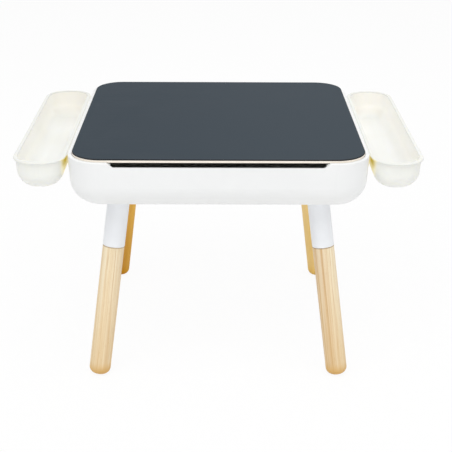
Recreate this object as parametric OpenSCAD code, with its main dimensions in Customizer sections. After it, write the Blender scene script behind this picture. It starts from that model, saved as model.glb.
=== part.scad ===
// Square play table for small children: a storage tub on four splayed legs,
// a lift-off lid seated in the tub's rim and a hanging tray on each side.
// The origin is on the floor under the middle of the table, the front faces -Y
// and +Z is up.

/* [Table] */
// Height of the lid's top above the floor
table_h = 441; // [380:1:520]
// Width and depth of the square lid
lid_w = 520; // [480:5:600]
// Radius of the lid's corners, seen from above
lid_corner_r = 54; // [52:1:80]

/* [Lid] */
// Thickness of the chalkboard panel
board_t = 2; // [1:0.5:4]
// Thickness of the plywood core
core_t = 4; // [3.5:0.5:12]
// Thickness of the panel under the core
back_t = 0.8; // [0.8:0.2:3]
// Height that the lid stands above the rim
lid_proud = 5; // [1:0.5:5.5]
// Play between the lid's edge and the rim
lid_play = 0.8; // [0.5:0.1:2]
// Radius of the chalkboard panel's upper edge
board_edge_r = 0.7; // [0.3:0.1:0.9]

/* [Tub] */
// Height of the tub from its underside to its rim
tub_h = 90; // [80:2:140]
// Width of the rim around the lid
rim_w = 7.2; // [6:0.2:12]
// Wall of the tub
tub_wall = 3.5; // [2.5:0.5:5]
// Draft of the tub's sides, in degrees
tub_draft = 2.5; // [1:0.5:4]
// Radius between the tub's sides and its underside
tub_fillet = 45; // [20:1:46]
// Radius of the rim's upper edges
rim_edge_r = 2; // [0.5:0.5:3]
// Width of the ledge that carries the lid
ledge_w = 11; // [8:1:20]
// Thickness of the ledge
ledge_t = 3; // [2:0.5:5]
// Height of the ribs under the tub
rib_h = 8; // [4:1:14]
// Thickness of the ribs and gussets
rib_t = 2.5; // [2:0.5:4]

/* [Finger notch] */
// Width of the notch along its bottom
notch_w = 366; // [120:2:370]
// Depth of the notch below the rim
notch_d = 8.2; // [7:0.2:14]
// Slope of the notch's ends, in degrees from level
notch_slope = 35; // [30:5:60]
// Radius at the notch's lower corners
notch_r = 3; // [2:1:12]

/* [Trays] */
// Length of a tray over its flange
tray_l = 480; // [300:10:520]
// Width of a tray over its flange
tray_w = 95; // [80:1:120]
// Height of a tray
tray_h = 55; // [40:1:70]
// Radius of a tray's ends, seen from above
tray_end_r = 44; // [38:1:46]
// Wall of a tray
tray_wall = 2.8; // [2:0.2:3.2]
// Draft of a tray's sides, in degrees
tray_draft = 3; // [1:0.5:4]
// Radius between a tray's sides and its bottom
tray_fillet = 31; // [16:1:32]
// Width of the flange outside the tray's wall
flange_w = 4; // [3:0.5:6]
// Thickness of the flange
flange_t = 4; // [3:0.5:6]
// Height from the lid's top down to the tray's flange
tray_drop = 14; // [10:1:20]
// Gap between the tub's rim and the tray's flange
tray_gap = 4; // [3:0.5:12]

/* [Tray hooks] */
// Distance between a tray's two hooks
hook_pitch = 240; // [160:10:300]
// Width of a hook
hook_w = 32; // [20:2:50]
// Thickness of a hook's arm and lip
hook_t = 4.5; // [3.5:0.5:6]
// Depth of a hook's lip behind the tub's wall
hook_lip = 8.5; // [6:0.5:9]
// Height of the stay ribs under a hook
hook_stay = 18; // [10:1:18]
// Depth of a hook's arm below the tray's top
hook_drop = 13; // [12.5:0.5:14]
// Play at the sides of a hook in its slot
slot_play = 0.8; // [0.5:0.1:2]

/* [Legs] */
// Diameter of the wooden leg
leg_d = 40; // [32:1:48]
// Splay of a leg to each side, in degrees
leg_splay = 7.5; // [2:0.1:9]
// Distance from the tub's side to the leg's axis, at the underside
leg_inset = 86.5; // [80:0.5:120]
// Radius round the edge of the leg's turned end
foot_r = 13; // [10:1:14]
// Height that a level cut takes off that end at the floor
foot_cut = 3; // [2.5:0.5:4]
// Length of the white sleeve along its axis
sleeve_l = 96; // [70:1:130]
// Wall of the sleeve
sleeve_wall = 3.5; // [2.5:0.5:5]
// Step from the wood out to the sleeve
sleeve_step = 0.3; // [0:0.1:1]
// Depth from the tub's underside to the web inside the sleeve
web_depth = 7; // [5:1:30]
// Thickness of that web
web_t = 4; // [3:0.5:6]

/* [Leg fastenings] */
// Diameter of the leg bolt
bolt_d = 8; // [6:1:10]
// Diameter of the bolt's head
bolt_head_d = 15; // [12:1:18]
// Height of the bolt's head
bolt_head_h = 4.4; // [3:0.2:6]
// Width across the corners of the bolt's hexagon socket
hex_d = 5.8; // [4:0.2:7]
// Diameter of the washer
washer_d = 22; // [18:1:24]
// Thickness of the washer
washer_t = 1.6; // [1:0.2:3]
// Diameter of the threaded insert
insert_d = 12; // [11:1:15]
// Length of the threaded insert
insert_l = 18; // [12:1:24]
// Diameter of the cap over the bolt's head
cap_d = 24; // [23:1:26]
// Thickness of the cap
cap_t = 2; // [1.5:0.5:3]
// Wall round the pocket that holds the bolt's head
pocket_wall = 3; // [2:0.5:5]

/* [Foot glides] */
// Diameter of the glide
glide_d = 20; // [14:1:24]
// Thickness of the glide
glide_t = 2; // [1:0.5:4]
// Diameter of the glide's nail
nail_d = 2.6; // [2:0.2:4]
// Length of the glide's nail
nail_l = 14; // [8:1:20]

/* [Hidden] */
$fn = 96;

// Clearances
seat = 0.3; // between a lift-off piece and what it rests on
press = 0.05; // round a pressed or threaded piece
slip = 0.15; // round a piece that slides in by hand
eps = 0.01; // overlap of cutters with the faces they cut
over = 1; // how far a cutter runs past the piece that it cuts

// Each corner has a name, a side to the left or right, and a side to the front or back
CORNERS = [
    ["front_left", -1, -1],
    ["front_right", 1, -1],
    ["back_left", -1, 1],
    ["back_right", 1, 1],
];
CORNER_PIECES = ["leg_sleeve", "leg", "leg_bolt", "bolt_washer", "leg_insert", "bolt_cap", "foot_glide"];

// Heights above the floor
rim_z = table_h - lid_proud;
tub_z = rim_z - tub_h;
lid_t = board_t + core_t + back_t;
lid_z = table_h - lid_t;
ledge_z = lid_z - seat;
tray_top_z = table_h - tray_drop;
tray_z = tray_top_z - tray_h;

// Tub, seen from above
tub_half = lid_w / 2 + lid_play + rim_w;
tub_corner_r = lid_corner_r + lid_play + rim_w;
recess_r = tub_corner_r - rim_w;
ledge_r = recess_r - ledge_w;
wall_across = tub_wall / cos(tub_draft);

// Half-width of the tub's outer face at a height above the floor
function tub_face(z) = tub_half - (rim_z - z) * tan(tub_draft);

// Tray
tray_x = tub_half + tray_gap + tray_w / 2;
body_r = tray_end_r - flange_w;
// Distance from the tray's middle to the outer face of its wall at a height above the floor
function tray_face(z) = tray_w / 2 - flange_w - (tray_top_z - z) * tan(tray_draft);

// Hooks: the arm rests on the lower edge of its slot, and the lip hangs behind the wall
arm_top_z = tray_top_z - hook_drop;
arm_z = arm_top_z - hook_t;
slot_z = arm_z - seat;
tray_lift = hook_lip + seat;
slot_top_z = arm_top_z + tray_lift + seat;
lip_z = arm_z - hook_lip;
lip_play = 0.6; // between a lip and the inside of the tub's wall
stay_z = arm_z - hook_stay;
stay_taper = 6; // drop of the stay ribs' lower edge towards the tray

// Legs
tub_leg = tub_half - leg_inset;
leg_tilt = atan(tan(leg_splay) * sqrt(2));
leg_r = leg_d / 2;
sleeve_r = leg_r + sleeve_step;
socket_r = sleeve_r - sleeve_wall;
web_low = web_depth + web_t;
tenon_r = socket_r - slip;
shoulder_bevel = 1;
// Distance from the middle to a leg's axis, in X and in Y, at a height above the floor
function leg_at(z) = tub_leg + (tub_z - z) * tan(leg_splay);

// Foot: circles of foot_r, centred on a ring round the leg's axis, make its rounded edge
ring_r = leg_r - foot_r;
ring_rise = ring_r * sin(leg_tilt); // from the ring's lowest point up to its middle
ring_z = glide_t - foot_cut + foot_r + ring_rise; // the ring's middle above the floor
ring_l = (ring_z - tub_z) / cos(leg_tilt);
// Half-length of the level cut through an edge circle at a height above the floor
function cut_reach(z) = sqrt(max(0, foot_r * foot_r - (z - glide_t) * (z - glide_t)));
// Distance from the leg's axis to the middle of the flat that the cut leaves
foot_shift = (ring_z - glide_t) * tan(leg_tilt)
    + (cut_reach(ring_z - ring_rise) - cut_reach(ring_z + ring_rise)) / 2;
foot_at = leg_at(glide_t) - foot_shift / sqrt(2);

// Leg fastenings, along the leg's axis from the tub's underside
shank_r = bolt_d / 2;
bolt_play = 0.4;
bolt_hole_r = shank_r + bolt_play;
head_room = 0.5; // between a bolt's head and its cap
pocket_r = washer_d / 2 + slip;
pocket_floor = tub_wall / cos(leg_tilt) + pocket_r * tan(leg_tilt);
head_z = pocket_floor + washer_t;
cap_seat_h = head_z + bolt_head_h + head_room;
boss_h = cap_seat_h + cap_t / 2;
boss_r = cap_d / 2 + slip + pocket_wall;
spigot_r = socket_r - slip;
spigot_wall = 2.5;
core_r = bolt_hole_r + spigot_wall;
bolt_end = web_low + insert_l + 4; // the bolt shows past its insert
leg_hole_end = bolt_end + 6;

// ---- Shapes that repeat ----

// A square with rounded corners, seen from above
module rounded_plan(half_x, half_y, r) {
    square([2 * half_x, 2 * (half_y - r)], center = true);
    square([2 * (half_x - r), 2 * half_y], center = true);
    for (x = [-1, 1], y = [-1, 1])
        translate([x * (half_x - r), y * (half_y - r)])
            circle(r);
}

// Sweeps a half section round a rounded plan and fills the middle up to a thickness.
// The section runs from the corners' axis at x = 0 out to x = r.
module swept_plan(half_x, half_y, r, middle_t) {
    flat_x = half_x - r;
    flat_y = half_y - r;
    for (turn = [0 : 3]) {
        swap = turn % 2 == 1;
        out = swap ? flat_y : flat_x;
        along = swap ? flat_x : flat_y;
        rotate([0, 0, 90 * turn]) {
            translate([out, along, 0])
                rotate_extrude(angle = 90)
                    children();
            translate([out, along, 0])
                rotate([90, 0, 0])
                    linear_extrude(2 * along)
                        children();
        }
    }
    if (middle_t > 0)
        translate([-flat_x, -flat_y, 0])
            cube([2 * flat_x, 2 * flat_y, middle_t]);
}

// Half section of a solid dish: a level bottom, a round fillet and a drafted side
module dish_section(top_r, h, fillet, draft) {
    tangent_z = fillet * (1 - sin(draft));
    side_r = top_r - (h - tangent_z) * tan(draft);
    fillet_x = side_r - fillet * cos(draft);
    polygon([
        [0, 0],
        [fillet_x, 0],
        [fillet_x, fillet],
        [side_r, tangent_z],
        [top_r, h],
        [0, h],
    ]);
    intersection() {
        translate([fillet_x, fillet])
            circle(fillet);
        square([top_r, fillet]);
    }
}

// What rounding leaves over at an upper right corner, to be cut away
module corner_waste(x, z, r) {
    translate([x - r, z - r])
        difference() {
            square(r + eps);
            circle(r);
        }
}

// Puts a piece on a leg's axis: the tub's underside is at zero and the foot lies below
module on_leg(corner) {
    side_x = corner[1];
    side_y = corner[2];
    translate([side_x * tub_leg, side_y * tub_leg, tub_z])
        rotate(leg_tilt, [side_y, -side_x, 0])
            children();
}

// Stands a tube or rod along a leg's axis between two heights on it
module leg_rod(low, high, r) {
    translate([0, 0, low])
        cylinder(h = high - low, r = r);
}

// Everything under the tub, from the floor up to a height
module space_below(z) {
    translate([-tub_half, -tub_half, 0])
        cube([2 * tub_half, 2 * tub_half, z]);
}

// ---- Tub ----

module tub_section() {
    inner_r = tub_corner_r - wall_across;
    inner_h = tub_h - tub_wall;
    difference() {
        dish_section(tub_corner_r, tub_h, tub_fillet, tub_draft);
        intersection() {
            translate([0, tub_wall])
                dish_section(inner_r, inner_h, tub_fillet - tub_wall, tub_draft);
            square([tub_corner_r, ledge_z - ledge_t - tub_z]);
        }
        translate([-eps, tub_h / 2])
            square([ledge_r + eps, tub_h]);
        translate([-eps, ledge_z - tub_z])
            square([recess_r + eps, tub_h]);
        corner_waste(tub_corner_r, tub_h, rim_edge_r);
        translate([2 * recess_r, 0])
            mirror([1, 0])
                corner_waste(recess_r, tub_h, rim_edge_r / 2);
    }
}

// The notch's outline, seen from the front
module notch_outline() {
    half = notch_w / 2;
    above = rim_edge_r + notch_d;
    run = above / tan(notch_slope);
    corner = 180 - notch_slope;
    tangent = notch_r / tan(corner / 2);
    polygon([
        [-half + tangent, 0],
        [half - tangent, 0],
        [half + tangent * cos(notch_slope), tangent * sin(notch_slope)],
        [half + run, above],
        [-half - run, above],
        [-half - tangent * cos(notch_slope), tangent * sin(notch_slope)],
    ]);
    for (side = [-1, 1])
        translate([side * (half - tangent), notch_r])
            circle(notch_r);
}

module notch_cut() {
    translate([0, -tub_half + tub_corner_r, rim_z - notch_d])
        rotate([90, 0, 0])
            linear_extrude(tub_corner_r + over)
                notch_outline();
}

// Slots in the tub's side walls for the trays' hooks
module slot_cuts() {
    slot_w = hook_w + 2 * slot_play;
    depth = 2 * tub_wall + rim_w;
    for (side = [-1, 1], hook = [-1, 1])
        translate([side * tub_half, hook * hook_pitch / 2, (slot_z + slot_top_z) / 2])
            cube([2 * depth, slot_w, slot_top_z - slot_z], center = true);
}

// Gussets under the ledge on both sides of each slot, and alike along the back
module ledge_gussets() {
    gusset_h = 14;
    from_slot = 50;
    short_of_edge = 1;
    gusset_top = ledge_z - ledge_t;
    wall_x = tub_face(gusset_top) - wall_across;
    reach = wall_x - (tub_half - rim_w - ledge_w) - short_of_edge;
    for (turn = [0 : 2], hook = [-1, 1], side = [-1, 1])
        rotate([0, 0, 90 * turn])
            translate([
                wall_x + tub_wall / 2,
                hook * hook_pitch / 2 + side * from_slot + rib_t / 2,
                gusset_top + eps,
            ])
                rotate([90, 0, 0])
                    linear_extrude(rib_t)
                        polygon([
                            [0, 0],
                            [-reach - tub_wall / 2, 0],
                            [-tub_wall / 2 - gusset_h * tan(tub_draft), -gusset_h],
                            [-gusset_h * tan(tub_draft), -gusset_h],
                        ]);
}

// Ribs under the tub: a frame from leg to leg and a cross through the middle
module tub_ribs() {
    span = 2 * tub_leg;
    ribs_z = tub_z - rib_h;
    for (turn = [0 : 3])
        rotate([0, 0, 90 * turn])
            translate([-span / 2, tub_leg - rib_t / 2, ribs_z])
                cube([span, rib_t, rib_h + eps]);
    for (turn = [0, 90])
        rotate([0, 0, turn + 45])
            translate([-span / 2 * sqrt(2), -rib_t / 2, ribs_z])
                cube([span * sqrt(2), rib_t, rib_h + eps]);
}

// Spigot under the tub that fills the top of a leg's sleeve, with a tube for the bolt
module leg_spigot() {
    root = tub_wall / 2;
    spoke_r = spigot_r - spigot_wall / 2;
    difference() {
        leg_rod(-web_depth, root, spigot_r);
        leg_rod(-web_depth - over, 0, spigot_r - spigot_wall);
    }
    leg_rod(-web_depth, root, core_r);
    for (turn = [0 : 2])
        rotate([0, 0, 60 * turn])
            translate([-spoke_r, -rib_t / 2, -web_depth])
                cube([2 * spoke_r, rib_t, web_depth + root]);
}

module tub() {
    color("white")
        difference() {
            union() {
                translate([0, 0, tub_z])
                    swept_plan(tub_half, tub_half, tub_corner_r, tub_wall)
                        tub_section();
                ledge_gussets();
                difference() {
                    tub_ribs();
                    for (corner = CORNERS)
                        on_leg(corner)
                            leg_rod(-2 * rib_h, 2 * rib_h, sleeve_r + seat);
                }
                for (corner = CORNERS) {
                    on_leg(corner)
                        leg_rod(tub_wall / 2, boss_h, boss_r);
                    intersection() {
                        on_leg(corner)
                            leg_spigot();
                        space_below(tub_z + tub_wall / 2);
                    }
                }
            }
            notch_cut();
            slot_cuts();
            for (corner = CORNERS)
                on_leg(corner) {
                    leg_rod(-web_depth - over, boss_h, bolt_hole_r);
                    leg_rod(pocket_floor, boss_h + over, pocket_r);
                    leg_rod(cap_seat_h, boss_h + over, cap_d / 2 + slip);
                }
        }
}

// ---- Lid ----

module lid_layer(z, t) {
    translate([0, 0, z])
        linear_extrude(t)
            rounded_plan(lid_w / 2, lid_w / 2, lid_corner_r);
}

module lid_chalkboard() {
    color("darkslategray")
        translate([0, 0, table_h - board_t])
            swept_plan(lid_w / 2, lid_w / 2, lid_corner_r, board_t)
                difference() {
                    square([lid_corner_r, board_t]);
                    corner_waste(lid_corner_r, board_t, board_edge_r);
                }
}

module lid_core() {
    color("burlywood")
        lid_layer(lid_z + back_t, core_t);
}

module lid_back_panel() {
    color("linen")
        lid_layer(lid_z, back_t);
}

// ---- Trays ----

module tray_section() {
    wall_out = tray_wall / cos(tray_draft);
    half_t = flange_t / 2;
    difference() {
        union() {
            dish_section(body_r, tray_h, tray_fillet, tray_draft);
            translate([0, tray_h - flange_t])
                square([tray_end_r - half_t, flange_t]);
            translate([tray_end_r - half_t, tray_h - half_t])
                circle(half_t);
        }
        translate([0, tray_wall])
            dish_section(body_r - wall_out, tray_h - tray_wall, tray_fillet - tray_wall, tray_draft);
        translate([-eps, tray_h - over])
            square([body_r - wall_out + eps, 2 * over]);
    }
}

// A hook, seen from behind the tray, for the tray on the right: the arm and lip,
// and stay ribs that hold the tray off the tub's side
module hook() {
    inner_face = tray_x - tray_face(arm_z);
    root_x = inner_face + tray_wall / 2;
    lip_x = tub_face(lip_z) - wall_across - lip_play;
    stay_x = tub_face(arm_top_z + tray_lift) + seat;
    translate([lip_x - hook_t, -hook_w / 2, arm_z])
        cube([root_x - lip_x + hook_t, hook_w, hook_t]);
    translate([lip_x - hook_t, -hook_w / 2, lip_z])
        cube([hook_t, hook_w, arm_z - lip_z + eps]);
    for (y = [-hook_w / 2, -rib_t / 2, hook_w / 2 - rib_t])
        translate([0, y + rib_t, 0])
            rotate([90, 0, 0])
                linear_extrude(rib_t)
                    polygon([
                        [stay_x, arm_z + eps],
                        [stay_x, stay_z],
                        [tray_x - tray_face(stay_z) + tray_wall / 2, stay_z - stay_taper],
                        [root_x, arm_z + eps],
                    ]);
}

// The tray on the right
module tray() {
    color("ivory") {
        translate([tray_x, 0, tray_z])
            swept_plan(tray_w / 2, tray_l / 2, tray_end_r, tray_wall)
                tray_section();
        for (side = [-1, 1])
            translate([0, side * hook_pitch / 2, 0])
                hook();
    }
}

module tray_right() {
    tray();
}

module tray_left() {
    mirror([1, 0, 0])
        tray();
}

// ---- Legs ----

// The sleeve is cut level where it meets the tub's underside
module leg_sleeve(corner) {
    bevel = 0.6;
    above = leg_r;
    color("whitesmoke")
        intersection() {
            on_leg(corner)
                difference() {
                    union() {
                        leg_rod(-sleeve_l + bevel, above, sleeve_r);
                        translate([0, 0, -sleeve_l])
                            cylinder(h = bevel, r1 = sleeve_r - bevel, r2 = sleeve_r);
                    }
                    leg_rod(-web_depth, above + over, socket_r);
                    leg_rod(-sleeve_l - over, -web_low, socket_r);
                    leg_rod(-web_low - over, 0, bolt_hole_r);
                }
            space_below(tub_z);
        }
}

// The turned end of a leg, before the level cut
module leg_end() {
    translate([0, 0, ring_l])
        rotate_extrude() {
            translate([0, -foot_r])
                square([ring_r, foot_r]);
            intersection() {
                translate([ring_r, 0])
                    circle(foot_r);
                translate([ring_r, -foot_r])
                    square(foot_r);
            }
        }
}

// Puts a piece on the floor at the middle of a foot
module on_foot(corner) {
    translate([corner[1] * foot_at, corner[2] * foot_at, 0])
        children();
}

module leg(corner) {
    color("burlywood")
        difference() {
            on_leg(corner)
                difference() {
                    union() {
                        leg_end();
                        leg_rod(ring_l, -sleeve_l - shoulder_bevel, leg_r);
                        translate([0, 0, -sleeve_l - shoulder_bevel])
                            cylinder(h = shoulder_bevel, r1 = leg_r, r2 = leg_r - shoulder_bevel);
                        leg_rod(-sleeve_l - shoulder_bevel, -web_low, tenon_r);
                    }
                    leg_rod(-web_low - insert_l, 0, insert_d / 2 + press);
                    leg_rod(-leg_hole_end, 0, bolt_hole_r);
                }
            on_foot(corner) {
                translate([0, 0, glide_t - leg_d])
                    cylinder(h = leg_d, r = leg_d);
                cylinder(h = glide_t + nail_l + over, r = nail_d / 2 + press);
            }
        }
}

// ---- Leg fastenings ----

module leg_bolt(corner) {
    dome_r = 0.7 * bolt_head_d;
    color("silver")
        on_leg(corner)
            difference() {
                union() {
                    leg_rod(-bolt_end, head_z + eps, shank_r);
                    intersection() {
                        leg_rod(head_z, head_z + bolt_head_h, bolt_head_d / 2);
                        translate([0, 0, head_z + bolt_head_h - dome_r])
                            sphere(dome_r);
                    }
                }
                translate([0, 0, head_z + bolt_head_h / 2])
                    cylinder(h = bolt_head_h, d = hex_d, $fn = 6);
            }
}

module bolt_washer(corner) {
    color("gainsboro")
        on_leg(corner)
            difference() {
                leg_rod(pocket_floor, head_z, washer_d / 2);
                leg_rod(pocket_floor - over, head_z + over, bolt_hole_r);
            }
}

module leg_insert(corner) {
    top = -web_low;
    color("goldenrod")
        on_leg(corner)
            difference() {
                leg_rod(top - insert_l, top, insert_d / 2);
                leg_rod(top - insert_l - over, top + over, shank_r + press);
            }
}

module bolt_cap(corner) {
    cap_r = cap_d / 2;
    edge_r = 1.2;
    color("white")
        on_leg(corner)
            translate([0, 0, cap_seat_h])
                rotate_extrude()
                    difference() {
                        square([cap_r, cap_t]);
                        corner_waste(cap_r, cap_t, edge_r);
                    }
}

module foot_glide(corner) {
    bevel = glide_t / 2;
    color("gray")
        on_foot(corner) {
            cylinder(h = bevel, r1 = glide_d / 2 - bevel, r2 = glide_d / 2);
            translate([0, 0, bevel])
                cylinder(h = glide_t - bevel, r = glide_d / 2);
            cylinder(h = glide_t + nail_l, r = nail_d / 2);
        }
}

tub();
lid_chalkboard();
lid_core();
lid_back_panel();
tray_left();
tray_right();
for (corner = CORNERS) {
    leg_sleeve(corner);
    leg(corner);
    leg_bolt(corner);
    bolt_washer(corner);
    leg_insert(corner);
    bolt_cap(corner);
    foot_glide(corner);
}
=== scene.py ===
import math

import bpy
from mathutils import Matrix, Vector


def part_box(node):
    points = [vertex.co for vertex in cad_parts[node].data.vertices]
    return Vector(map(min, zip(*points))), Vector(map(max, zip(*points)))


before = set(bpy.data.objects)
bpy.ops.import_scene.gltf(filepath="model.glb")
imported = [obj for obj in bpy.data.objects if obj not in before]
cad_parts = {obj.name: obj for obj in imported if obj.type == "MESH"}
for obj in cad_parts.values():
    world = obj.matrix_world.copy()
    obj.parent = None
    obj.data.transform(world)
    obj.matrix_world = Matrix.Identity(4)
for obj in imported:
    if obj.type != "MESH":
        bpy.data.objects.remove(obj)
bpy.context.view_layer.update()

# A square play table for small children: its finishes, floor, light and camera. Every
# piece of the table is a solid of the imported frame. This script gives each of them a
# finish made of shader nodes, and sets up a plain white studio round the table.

CORNERS = ["front_left", "front_right", "back_left", "back_right"]
WHITE = (1, 1, 1, 1)
BLACK = (0, 0, 0, 1)

# ---- Camera, solved from edges of the lid, tub and legs in the photograph ----
IMAGE_PX = 452
FOCAL_PX = 1074
SENSOR_MM = 36
CAMERA_PLACE = Vector((0.0019, -2.0196, 1.0449))
CAMERA_PITCH = 0.3922  # radians below level
CAMERA_YAW = 0.0065
CAMERA_ROLL = 0.0049

# ---- Floor and light ----
FLOOR_HALF = 30.0
PAPER = (0.95, 0.95, 0.95, 1)
SHADOW_LIFT = 0.92  # share of plain white that hides the floor's shadows
BACKDROP = 1.0  # strength that the camera and reflections see
SKY = 0.66  # strength of the even light from all round
LAMP_AIM = Vector((0, 0, 0.3))
LAMPS = [  # name, place, width and power of each square soft box
    ("key_light", (-0.9, -1.4, 2.9), 2.0, 26),
    ("fill_light", (1.2, -1.1, 2.4), 1.8, 13),
    ("front_light", (0.0, -2.3, 0.2), 1.6, 6.5),
    ("back_light", (0.3, 1.8, 2.3), 1.8, 10),
]

# ---- Sizes of the table that the finishes follow ----
LID_HALF = 0.26
PLIES = 5
TRAY_HALF_WIDTH = 0.04  # about what a tray measures inside
TRAY_HALF_LENGTH = 0.2
HOOK_REACH = 0.0141  # that a tray's hooks reach past its flange, towards the tub
SLEEVE_R = 0.0203


class Field:
    """A socket that carries a number or a colour over a surface, with its sums."""

    def __init__(self, finish, socket):
        self.finish = finish
        self.socket = socket

    def __add__(self, other):
        return self.finish.math("ADD", self, other)

    def __radd__(self, other):
        return self.finish.math("ADD", other, self)

    def __sub__(self, other):
        return self.finish.math("SUBTRACT", self, other)

    def __rsub__(self, other):
        return self.finish.math("SUBTRACT", other, self)

    def __mul__(self, other):
        return self.finish.math("MULTIPLY", self, other)

    def __rmul__(self, other):
        return self.finish.math("MULTIPLY", other, self)

    def __truediv__(self, other):
        return self.finish.math("DIVIDE", self, other)

    def __rtruediv__(self, other):
        return self.finish.math("DIVIDE", other, self)

    def __pow__(self, other):
        return self.finish.math("POWER", self, other)

    def __rpow__(self, other):
        return self.finish.math("POWER", other, self)

    def __abs__(self):
        return self.finish.math("ABSOLUTE", self)

    def fraction(self):
        return self.finish.math("FRACT", self)

    def larger(self, other):
        return self.finish.math("MAXIMUM", self, other)

    def step(self, low, high):
        """Rises smoothly from 0 where this is low to 1 where it is high."""
        return self.finish.node(
            "ShaderNodeMapRange",
            {"interpolation_type": "SMOOTHSTEP"},
            {"Value": self, "From Min": low, "From Max": high},
        )

    def output(self, name):
        """Another output of the node that this socket is on."""
        return Field(self.finish, self.socket.node.outputs[name])

    def axes(self):
        """The three numbers of a vector."""
        split = self.finish.node("ShaderNodeSeparateXYZ", sockets={"Vector": self})
        return [split.output(axis) for axis in "XYZ"]


class Finish:
    """A tree of shader nodes: a material's, or the world's."""

    def __init__(self, name, owner=None):
        self.owner = owner or bpy.data.materials.new(name)
        self.owner.use_nodes = True
        self.tree = self.owner.node_tree
        self.tree.nodes.clear()

    def node(self, kind, settings=None, sockets=None, output=0):
        """Adds a node: its settings first, then the values or links of its sockets."""
        made = self.tree.nodes.new(kind)
        for name, value in (settings or {}).items():
            setattr(made, name, value)
        for name, value in (sockets or {}).items():
            if isinstance(value, Field):
                self.tree.links.new(value.socket, made.inputs[name])
            else:
                made.inputs[name].default_value = value
        if made.outputs:
            return Field(self, made.outputs[output])

    def math(self, operation, *values):
        return self.node("ShaderNodeMath", {"operation": operation}, dict(enumerate(values)))

    def place(self):
        """Metres along X, Y and Z on the piece, in the table's own frame."""
        return self.node("ShaderNodeTexCoord", output="Object")

    def facing(self):
        """The piece's surface direction, in the table's own frame."""
        return self.node("ShaderNodeTexCoord", output="Normal")

    def noise(self, vector, per_metre, detail=2.0, roughness=0.5, distortion=0.0):
        """Soft random blotches, from 0 to 1, at so many per metre on each axis."""
        if not isinstance(per_metre, tuple):
            per_metre = (per_metre,) * 3
        scaled = self.node(
            "ShaderNodeVectorMath", {"operation": "MULTIPLY"}, {0: vector, 1: per_metre}
        )
        return self.node(
            "ShaderNodeTexNoise",
            sockets={
                "Vector": scaled,
                "Scale": 1.0,
                "Detail": detail,
                "Roughness": roughness,
                "Distortion": distortion,
            },
        )

    def blend(self, first, second, share):
        """A colour between two others, of which the second takes the share."""
        share_socket, first_socket, second_socket, colour_output = 0, 6, 7, 2
        return self.node(
            "ShaderNodeMix",
            {"data_type": "RGBA"},
            {share_socket: share, first_socket: first, second_socket: second},
            colour_output,
        )

    def bump(self, height, distance, strength):
        return self.node(
            "ShaderNodeBump",
            sockets={"Height": height, "Distance": distance, "Strength": strength},
        )

    def surface(self, shader):
        """Finishes the tree with a shader."""
        kind = "World" if isinstance(self.owner, bpy.types.World) else "Material"
        self.node("ShaderNodeOutput" + kind, sockets={"Surface": shader})
        return self.owner

    def principled(self, **sockets):
        """A Principled shader, with its sockets' names in small letters."""
        named = {name.replace("_", " ").title(): value for name, value in sockets.items()}
        renamed = {"Ior": "IOR", "Specular Level": "Specular IOR Level"}
        named = {renamed.get(name, name): value for name, value in named.items()}
        return self.node("ShaderNodeBsdfPrincipled", sockets=named)

    def moulded(self, tint, shade, roughness, **sockets):
        """Satin polypropylene: a fine moulded grain, faint flow marks and a few scuffs.

        The tint and the shade are each a colour, or a field of colours over the piece.
        """
        place = self.place()
        flow = self.noise(place, (7, 7, 11), detail=3, distortion=0.6)
        grain = self.noise(place, 1700, detail=2, roughness=0.6)
        smudge = self.noise(place, 28, detail=4, roughness=0.6)
        scuff_x = self.noise(place, (35, 900, 900), detail=2).step(0.70, 0.78)
        scuff_y = self.noise(place, (900, 35, 900), detail=2).step(0.70, 0.78)
        scuffs = scuff_x.larger(scuff_y) * smudge.step(0.5, 0.7)
        body = self.blend(tint, shade, flow.step(0.35, 0.75) * 0.55 + smudge * 0.2)
        return self.principled(
            base_color=self.blend(body, shade, scuffs * 0.6),
            roughness=roughness + grain * 0.08 + smudge * 0.08 + scuffs * 0.12,
            normal=self.bump(grain * 0.8 + scuffs * -0.5, distance=0.00004, strength=0.5),
            ior=1.49,
            **sockets,
        )

    def coat(self, **sockets):
        """Finishes the material with one Principled shader."""
        return self.surface(self.principled(**sockets))

    def mixed(self, share, first, second):
        """Finishes the tree with two shaders, of which the second takes the share."""
        sockets = {0: share, 1: first, 2: second}
        return self.surface(self.node("ShaderNodeMixShader", sockets=sockets))


def colour(red, green, blue):
    """A colour given as it looks on a screen, from 0 to 255, in the shader's light."""

    def linear(level):
        level = level / 255
        return level / 12.92 if level <= 0.04045 else ((level + 0.055) / 1.055) ** 2.4

    return (linear(red), linear(green), linear(blue), 1)


def centre(node):
    low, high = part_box(node)
    return (low + high) / 2


# ---- Finishes of the tub, the sleeves and the trays ----


def moulded_plastic(name, tint, shade, roughness):
    """Satin polypropylene of one colour."""
    finish = Finish(name)
    return finish.surface(finish.moulded(tint, shade, roughness))


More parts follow.
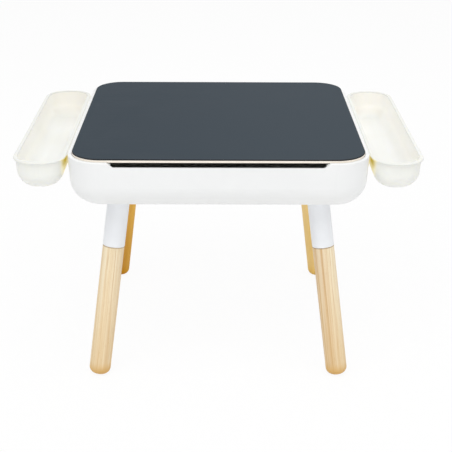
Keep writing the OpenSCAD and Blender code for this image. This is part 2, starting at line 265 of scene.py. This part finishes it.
def tray_plastic():
    """Cream polypropylene, with painted light and shade inside a tray, and a painted deep
    yellow shade and glow in its gap to the tub.
    """
    cream = colour(241, 242, 237)
    worn_cream = colour(222, 219, 208)
    flange_painted_shade = colour(226, 227, 223)
    wall_painted_light = colour(252, 251, 246)
    end_wall_painted_light = colour(251, 248, 242)
    fillet_painted_shade = colour(226, 223, 216)
    floor_painted_shade = colour(235, 236, 234)
    floor_painted_light_by_tub = colour(246, 246, 242)
    wall_painted_glow = colour(62, 61, 52)
    tub_side_painted_glow = colour(225, 224, 216)
    gap_painted_yellow, gap_painted_pale_yellow = colour(198, 174, 2), colour(238, 226, 176)
    gap_painted_glow, gap_painted_pale_glow = colour(196, 174, 0), colour(244, 230, 184)
    finish = Finish("tray_plastic")
    low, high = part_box("tray_right")
    middle_x = (low.x + high.x) / 2 + HOOK_REACH / 2
    top = high.z
    x, y, z = finish.place().axes()
    facing_x, facing_y, facing_z = finish.facing().axes()
    from_middle = abs(x) - middle_x
    outward_x = facing_x * (x / abs(x))
    upward = facing_z.step(0.4, 0.8)

    # Between which places the masks below rise: in height, across the tray, and along it
    rim_rise = (top - 0.003, top - 0.001)
    flange_rise = (top - 0.0055, top - 0.0035)
    yellow_rise = (top - 0.05, top - 0.03)
    deep_rise = (top - 0.026, top - 0.012)
    tub_side = (-0.0425, -0.0355)
    front_end, deep_end, yellow_end = (-0.2, -0.19), (-0.174, -0.152), (-0.14, -0.11)

    # The outside, and painted shade on the flange over its last few millimetres
    flange = z.step(*flange_rise)
    outer = finish.blend(cream, flange_painted_shade, flange * 0.65)

    # The inside, in painted light and shade: its walls and the wall of its back end lighter,
    # its floor darker but lighter near the tub at the back, and the fillet between them darker
    inward = (
        facing_z
        - outward_x * (from_middle / TRAY_HALF_WIDTH)
        - facing_y * (y / TRAY_HALF_LENGTH)
    )
    inside = inward.step(-0.3, 0.3) * (1 - z.step(*rim_rise))
    on_floor = facing_z.step(0.2, 0.95)
    forward = facing_y * -1
    end_wall = forward.step(0.2, 0.9)
    wall = finish.blend(wall_painted_light, end_wall_painted_light, end_wall)
    by_tub = (1 - from_middle.step(-0.03, 0.01)) * y.step(0.02, 0.14)
    floor = finish.blend(floor_painted_shade, floor_painted_light_by_tub, by_tub)
    lined = finish.blend(wall, floor, on_floor)
    end_fillet = forward.step(0.1, 0.5) * on_floor * (1 - on_floor)
    inner = finish.blend(lined, fillet_painted_shade, end_fillet * 1.8)
    tint = finish.blend(outer, inner, inside)

    # Painted glow, standing in for the light that comes through the thin walls: on the inner
    # side walls, and most of all on the side at the tub
    at_tub = (1 - from_middle.step(*tub_side)) ** 2 * (1 - upward) * (1 - inside)
    lit_inside = inside * (1 - on_floor) * (1 - end_wall)
    lit_wall = finish.blend(BLACK, wall_painted_glow, lit_inside)
    plastic = finish.moulded(
        tint=tint,
        shade=finish.blend(tint, worn_cream, 0.35),
        roughness=0.38,
        emission_color=finish.blend(lit_wall, tub_side_painted_glow, at_tub),
        emission_strength=0.45,
        subsurface_weight=0.25,
        subsurface_radius=(0.006, 0.0055, 0.004),
    )

    # Painted shade and bounced light: the yellow in the front of the gap, which fades
    # downwards and towards the back
    off_flange = (1 - y.step(*front_end)).larger(1 - flange)
    at_front = off_flange * (1 - y.step(*yellow_end))
    round_front = 0.5 + y.step(-0.225, -0.18) * 0.5
    glow = at_tub * at_front * z.step(*yellow_rise) * round_front
    pale = (1 - z.step(*deep_rise)).larger(y.step(*deep_end))
    gap = finish.principled(
        base_color=finish.blend(gap_painted_yellow, gap_painted_pale_yellow, pale),
        roughness=0.6,
        specular_level=0.05,
        emission_color=finish.blend(gap_painted_glow, gap_painted_pale_glow, pale),
        emission_strength=0.27,
    )
    return finish.mixed(glow, plastic, gap)


# ---- Finishes of the lid ----


def chalkboard():
    """Dark slate coating with a fine tooth, wiped chalk dust, a painted reflection that
    lightens it towards the right, and a raw black edge.
    """
    raw_edge, chalk = colour(12, 11, 11), colour(108, 120, 128)
    finish = Finish("chalkboard")
    place = finish.place()
    tooth = finish.noise(place, 2100, detail=2, roughness=0.7)
    speckle = finish.noise(place, 620, detail=3, roughness=0.7)
    clouds = finish.noise(place, (5, 6, 5), detail=4, roughness=0.6, distortion=0.8)
    wipes = finish.noise(place, (9, 150, 9), detail=3, roughness=0.6, distortion=0.3)
    scratches = finish.noise(place, (18, 1300, 18), detail=1).step(0.74, 0.8)
    dust = clouds.step(0.35, 0.8) * 0.5 + wipes.step(0.4, 0.8) * 0.35 + scratches * 0.3
    slate = finish.blend(colour(40, 51, 60), colour(48, 59, 68), speckle)
    # Painted reflection: the slate lighter towards the right, blended in with the chalk colour
    painted_reflection_right = (place.axes()[0].step(-LID_HALF, LID_HALF) - 0.5) * 0.045
    dust_and_reflection = finish.blend(slate, chalk, dust * 0.07 + painted_reflection_right)
    upward = finish.facing().axes()[2].step(0.8, 0.98)
    return finish.coat(
        base_color=finish.blend(raw_edge, dust_and_reflection, upward),
        roughness=0.62 + speckle * 0.12 + dust * 0.10,
        normal=finish.bump(tooth + scratches * -0.6, distance=0.00005, strength=0.6),
        specular_level=0.15,
    )


def plywood():
    """Birch plywood: thin plies with glue lines between them, and end grain in every other."""
    pale_birch, birch = colour(254, 250, 243), colour(249, 240, 226)
    pore_brown = colour(226, 203, 170)
    streak_tan = colour(243, 228, 204)
    glue_brown = colour(208, 178, 138)
    finish = Finish("plywood")
    low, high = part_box("lid_core")
    ply = (high.z - low.z) / PLIES
    place = finish.place()
    plies_up = (place.axes()[2] - low.z) / ply
    across = (plies_up * 0.5).fraction().step(0.48, 0.52)
    glue = abs(plies_up.fraction() - 0.5).step(0.42, 0.48)
    fibres = finish.noise(place, (45, 45, 2600), detail=3, roughness=0.6)
    pores = finish.noise(place, (1500, 1500, 900), detail=2, roughness=0.7).step(0.55, 0.75)
    broad = finish.noise(place, (9, 9, 300), detail=2).step(0.5, 0.8)
    long_grain = finish.blend(pale_birch, birch, fibres)
    end_grain = finish.blend(birch, pore_brown, pores)
    wood = finish.blend(long_grain, end_grain, across * 0.7)
    streaked = finish.blend(wood, streak_tan, broad * 0.4)
    return finish.coat(
        base_color=finish.blend(streaked, glue_brown, glue * 0.4),
        roughness=0.55 + fibres * 0.15,
        normal=finish.bump(
            fibres + across * -0.4 + glue * -0.5, distance=0.00008, strength=0.5
        ),
    )


def back_panel():
    """Off-white laminate with a faint fibre print, and a raw edge darkened to near black:
    partly the hardboard's own colour, partly painted shade below the plywood.
    """
    off_white, print_grey = colour(240, 238, 232), colour(229, 226, 218)
    dark_edge_and_shade = colour(34, 28, 24)
    finish = Finish("back_panel")
    place = finish.place()
    fibres = finish.noise(place, (700, 60, 700), detail=3, roughness=0.6)
    blotches = finish.noise(place, 12, detail=3)
    downward = 1 - finish.facing().axes()[2].step(-0.7, -0.4)
    laminate = finish.blend(off_white, print_grey, fibres * 0.5 + blotches * 0.4)
    return finish.coat(
        # The raw edge is near black, partly as painted shade below the plywood
        base_color=finish.blend(dark_edge_and_shade, laminate, downward),
        roughness=0.42 + fibres * 0.12,
        normal=finish.bump(fibres, distance=0.00003, strength=0.5),
    )


# ---- Finishes of the legs ----

# Seen across a leg, the pith is where its growth layers centre, beside the leg. The heart is
# the direction of its darker side. On the back legs this side also takes on painted warm shade
# in two colours, the first of them at the foot and to the left.
PAINTED_AMBER_SHADE = (colour(206, 140, 2), colour(244, 188, 70))
PAINTED_HONEY_SHADE = (colour(255, 212, 116), colour(255, 212, 116))
LEG_TIMBER = {
    "front_left": {"pith": (0.052, 0.030), "heart": (0.95, -0.3), "heart_share": 0.3},
    "front_right": {"pith": (-0.035, 0.040), "heart": (-0.85, -0.5), "heart_share": 0.75},
    "back_left": {
        "pith": (0.045, -0.042),
        "heart": (0.6, -0.8),
        "heart_share": 0.3,
        "painted_shades": PAINTED_AMBER_SHADE,
        "painted_shade_share": 0.86,
        "gloss": 0.05,
    },
    "back_right": {
        "pith": (-0.060, -0.020),
        "heart": (-0.7, -0.7),
        "heart_share": 0.0,
        "painted_shades": PAINTED_HONEY_SHADE,
        "painted_shade_share": 0.66,
        "gloss": 0.15,
    },
}
FOOT_TONE_AND_SHADE_LENGTH = 0.27  # above the foot, over which the wood is darker, partly by its tone and partly by painted shade
END_LENGTH = 0.03  # above the foot, over which it is deepest
PAINTED_SHADE_RISE = (0.02, 0.2)  # above the foot, where the second colour of painted warm shade takes over
SLEEVE_SHADOW_LINE = (0.0012, 0.0022)  # below the sleeve, where the painted shadow line under it fades


def leg_wood(corner, pith, heart, heart_share, painted_shades=None, painted_shade_share=0.0, gloss=0.4):
    """Light hardwood along the leg: uneven growth layers, fibres, pores, a foot made deeper
    partly by its tone and partly by painted shade, and painted shade under the sleeve and on
    the back legs.
    """
    finish = Finish("leg_wood_" + corner)

    # Places along the leg, from its bolt's cap down to its glide
    top = centre("bolt_cap_" + corner)
    foot = centre("foot_glide_" + corner)
    axis = (foot - top).normalized()
    place = finish.node(
        "ShaderNodeMapping",
        {"vector_type": "TEXTURE"},
        {
            "Vector": finish.place(),
            "Location": top,
            "Rotation": axis.to_track_quat("Z", "X").to_euler(),
        },
    )
    x, y, z = place.axes()
    sleeve_drop = top.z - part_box("leg_sleeve_" + corner)[0].z
    seam = (sleeve_drop - SLEEVE_R * math.hypot(axis.x, axis.y)) / -axis.z
    painted_sleeve_shadow = 1 - z.step(*[seam + drop for drop in SLEEVE_SHADOW_LINE])
    low_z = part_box("leg_" + corner)[0].z
    height = finish.place().axes()[2]
    lower = 1 - height.step(low_z, low_z + FOOT_TONE_AND_SHADE_LENGTH)
    end = 1 - height.step(low_z, low_z + END_LENGTH)
    facing_x, facing_y, _ = finish.facing().axes()
    towards_heart = facing_x * heart[0] + facing_y * heart[1]

    # Grain
    sway = finish.noise(place, (22, 22, 3.0), detail=3, roughness=0.5) * 0.009
    from_pith = ((x - pith[0]) ** 2 + (y - pith[1]) ** 2) ** 0.5 + sway
    layers = finish.node("ShaderNodeCombineXYZ", sockets={"X": from_pith, "Z": z})
    broad = finish.noise(layers, (95, 1, 1.6), detail=2).step(0.35, 0.68)
    narrow = finish.noise(layers, (420, 1, 2.6), detail=4, roughness=0.65).step(0.38, 0.68)
    streaks = finish.noise(layers, (330, 1, 1.3), detail=3, roughness=0.6).step(0.55, 0.68)
    dashes = finish.noise(place, (650, 650, 24), detail=2).step(0.45, 0.65)
    fibres = finish.noise(place, (760, 760, 11), detail=4, roughness=0.65).step(0.3, 0.75)
    threads = finish.noise(place, (2400, 2400, 50), detail=2, roughness=0.6).step(0.5, 0.8)
    pores = finish.noise(place, (1800, 1800, 150), detail=1).step(0.66, 0.76)

    # Colour: each tone over those before it
    heart_grain = 0.3 + narrow * 0.35 + streaks * 0.5
    tones = [
        (colour(238, 219, 183), fibres),
        (colour(221, 187, 133), narrow * 0.6),
        (colour(227, 197, 148), broad * 0.35),
        (colour(250, 238, 216), threads * 0.3),
        (colour(203, 158, 98), streaks * (0.22 + dashes * 0.32)),
        (colour(196, 146, 84), towards_heart.step(0.0, 0.9) * heart_grain * heart_share),
        (colour(178, 130, 76), pores * 0.35),
        # Darker towards the foot: partly the wood's tone, partly painted shade
        (colour(215, 173, 104), lower * 0.36 + end * 0.8),
    ]
    wood = colour(248, 238, 213)
    for tone, share in tones:
        wood = finish.blend(wood, tone, share)
    # Painted warm shade on the inner front side of the back legs
    if painted_shades:
        upper = height.step(*[low_z + rise for rise in PAINTED_SHADE_RISE])
        painted_shade = finish.blend(*painted_shades, upper * 0.5 + facing_x.step(0.3, 0.9) * 0.5)
        wood = finish.blend(wood, painted_shade, towards_heart.step(0.0, 0.4) * painted_shade_share)
    return finish.coat(
        # A painted shadow line on the wood just under the sleeve
        base_color=finish.blend(wood, colour(150, 122, 86), painted_sleeve_shadow * 0.6),
        roughness=0.46 + fibres * 0.14 + pores * 0.1,
        normal=finish.bump(
            fibres * 0.6 + narrow * -0.3 + pores * -0.8, distance=0.00012, strength=0.45
        ),
        specular_level=gloss,
    )


# ---- Finishes of the fittings ----


def zinc_steel():
    """Zinc plate: turned marks, a slight yellow and blue cast, and dull spots."""
    finish = Finish("bolt_steel")
    place = finish.place()
    turned = finish.noise(place, (120, 120, 5200), detail=2)
    cast = finish.noise(place, 160, detail=3)
    spots = finish.noise(place, 900, detail=2).step(0.6, 0.75)
    plate = finish.blend(colour(206, 207, 210), colour(214, 207, 188), cast.step(0.4, 0.7))
    return finish.coat(
        base_color=finish.blend(plate, colour(160, 163, 168), spots * 0.5),
        metallic=1.0,
        roughness=0.3 + turned * 0.15 + spots * 0.15,
        normal=finish.bump(turned, distance=0.00003, strength=0.4),
    )


def brass():
    """Turned brass that has begun to dull."""
    finish = Finish("insert_brass")
    place = finish.place()
    turned = finish.noise(place, (120, 120, 4600), detail=2)
    tarnish = finish.noise(place, 210, detail=4, roughness=0.6).step(0.45, 0.75)
    return finish.coat(
        base_color=finish.blend(colour(222, 188, 112), colour(168, 132, 74), tarnish * 0.6),
        metallic=1.0,
        roughness=0.28 + turned * 0.14 + tarnish * 0.2,
        normal=finish.bump(turned, distance=0.00003, strength=0.4),
    )


def glide_nylon():
    """Grey nylon, scuffed by the floor."""
    finish = Finish("glide_plastic")
    place = finish.place()
    grain = finish.noise(place, 2400, detail=2)
    scuffs = finish.noise(place, (160, 1500, 700), detail=3).step(0.55, 0.72)
    body = finish.blend(colour(176, 174, 168), colour(160, 158, 152), grain)
    return finish.coat(
        base_color=finish.blend(body, colour(206, 203, 196), scuffs * 0.6),
        roughness=0.5 + grain * 0.1 + scuffs * 0.2,
        normal=finish.bump(grain + scuffs * -0.7, distance=0.00005, strength=0.5),
    )


# ---- Table ----


def dress(material, *nodes):
    """Gives a finish to CAD nodes."""
    for node in nodes:
        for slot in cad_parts[node].material_slots:
            slot.material = material


def dress_corners(material, piece):
    """Gives a finish to a piece that every corner has."""
    dress(material, *[f"{piece}_{corner}" for corner in CORNERS])


def dress_table():
    white = moulded_plastic(
        "tub_plastic",
        tint=colour(238, 239, 239),
        shade=colour(235, 236, 236),
        roughness=0.36,
    )
    dress(white, "tub")
    dress_corners(white, "bolt_cap")
    cool_white = moulded_plastic(
        "sleeve_plastic",
        tint=colour(239, 241, 244),
        shade=colour(233, 235, 239),
        roughness=0.4,
    )
    dress_corners(cool_white, "leg_sleeve")
    dress(tray_plastic(), "tray_left", "tray_right")
    dress(chalkboard(), "lid_chalkboard")
    dress(plywood(), "lid_core")
    dress(back_panel(), "lid_back_panel")
    for corner in CORNERS:
        dress(leg_wood(corner, **LEG_TIMBER[corner]), "leg_" + corner)
    steel = zinc_steel()
    dress_corners(steel, "leg_bolt")
    dress_corners(steel, "bolt_washer")
    dress_corners(brass(), "leg_insert")
    dress_corners(glide_nylon(), "foot_glide")


# ---- Studio ----


def seen_directly(finish):
    """1 for what the camera, a reflection or a view through glass shows, and 0 for light."""
    path = finish.node("ShaderNodeLightPath", output="Is Camera Ray")
    reflected = path.output("Is Glossy Ray")
    through = path.output("Is Transmission Ray")
    return path.larger(reflected).larger(through)


def add_world():
    """Even light from all round, and a white backdrop."""
    world = bpy.data.worlds.new("studio")
    bpy.context.scene.world = world
    finish = Finish("studio", world)
    light = finish.node("ShaderNodeBackground", sockets={"Color": WHITE, "Strength": SKY})
    shown = finish.node("ShaderNodeBackground", sockets={"Color": WHITE, "Strength": BACKDROP})
    finish.mixed(seen_directly(finish), light, shown)


def add_floor():
    """A white floor that keeps a faint shadow of the table."""
    mesh = bpy.data.meshes.new("floor")
    half = FLOOR_HALF
    corners = [(-half, -half, 0), (half, -half, 0), (half, half, 0), (-half, half, 0)]
    mesh.from_pydata(corners, [], [(0, 1, 2, 3)])
    floor = bpy.data.objects.new("floor", mesh)
    bpy.context.scene.collection.objects.link(floor)
    finish = Finish("floor")
    paper = finish.node("ShaderNodeBsdfDiffuse", sockets={"Color": PAPER})
    plain = finish.node("ShaderNodeEmission", sockets={"Color": WHITE, "Strength": BACKDROP})
    mesh.materials.append(finish.mixed(seen_directly(finish) * SHADOW_LIFT, paper, plain))


def add_lamp(name, place, width, power):
    """A square soft box that faces the table."""
    data = bpy.data.lights.new(name, "AREA")
    data.size = width
    data.energy = power
    lamp = bpy.data.objects.new(name, data)
    bpy.context.scene.collection.objects.link(lamp)
    lamp.location = place
    lamp.rotation_euler = (LAMP_AIM - lamp.location).to_track_quat("-Z", "Y").to_euler()


def add_camera():
    data = bpy.data.cameras.new("camera")
    data.sensor_width = SENSOR_MM
    data.lens = SENSOR_MM * FOCAL_PX / IMAGE_PX
    camera = bpy.data.objects.new("camera", data)
    bpy.context.scene.collection.objects.link(camera)
    camera.matrix_world = (
        Matrix.Translation(CAMERA_PLACE)
        @ Matrix.Rotation(-CAMERA_YAW, 4, "Z")
        @ Matrix.Rotation(math.pi / 2 - CAMERA_PITCH, 4, "X")
        @ Matrix.Rotation(CAMERA_ROLL, 4, "Z")
    )
    bpy.context.scene.camera = camera


dress_table()
add_world()
add_floor()
for lamp in LAMPS:
    add_lamp(*lamp)
add_camera()
bpy.context.scene.view_settings.view_transform = "Standard"
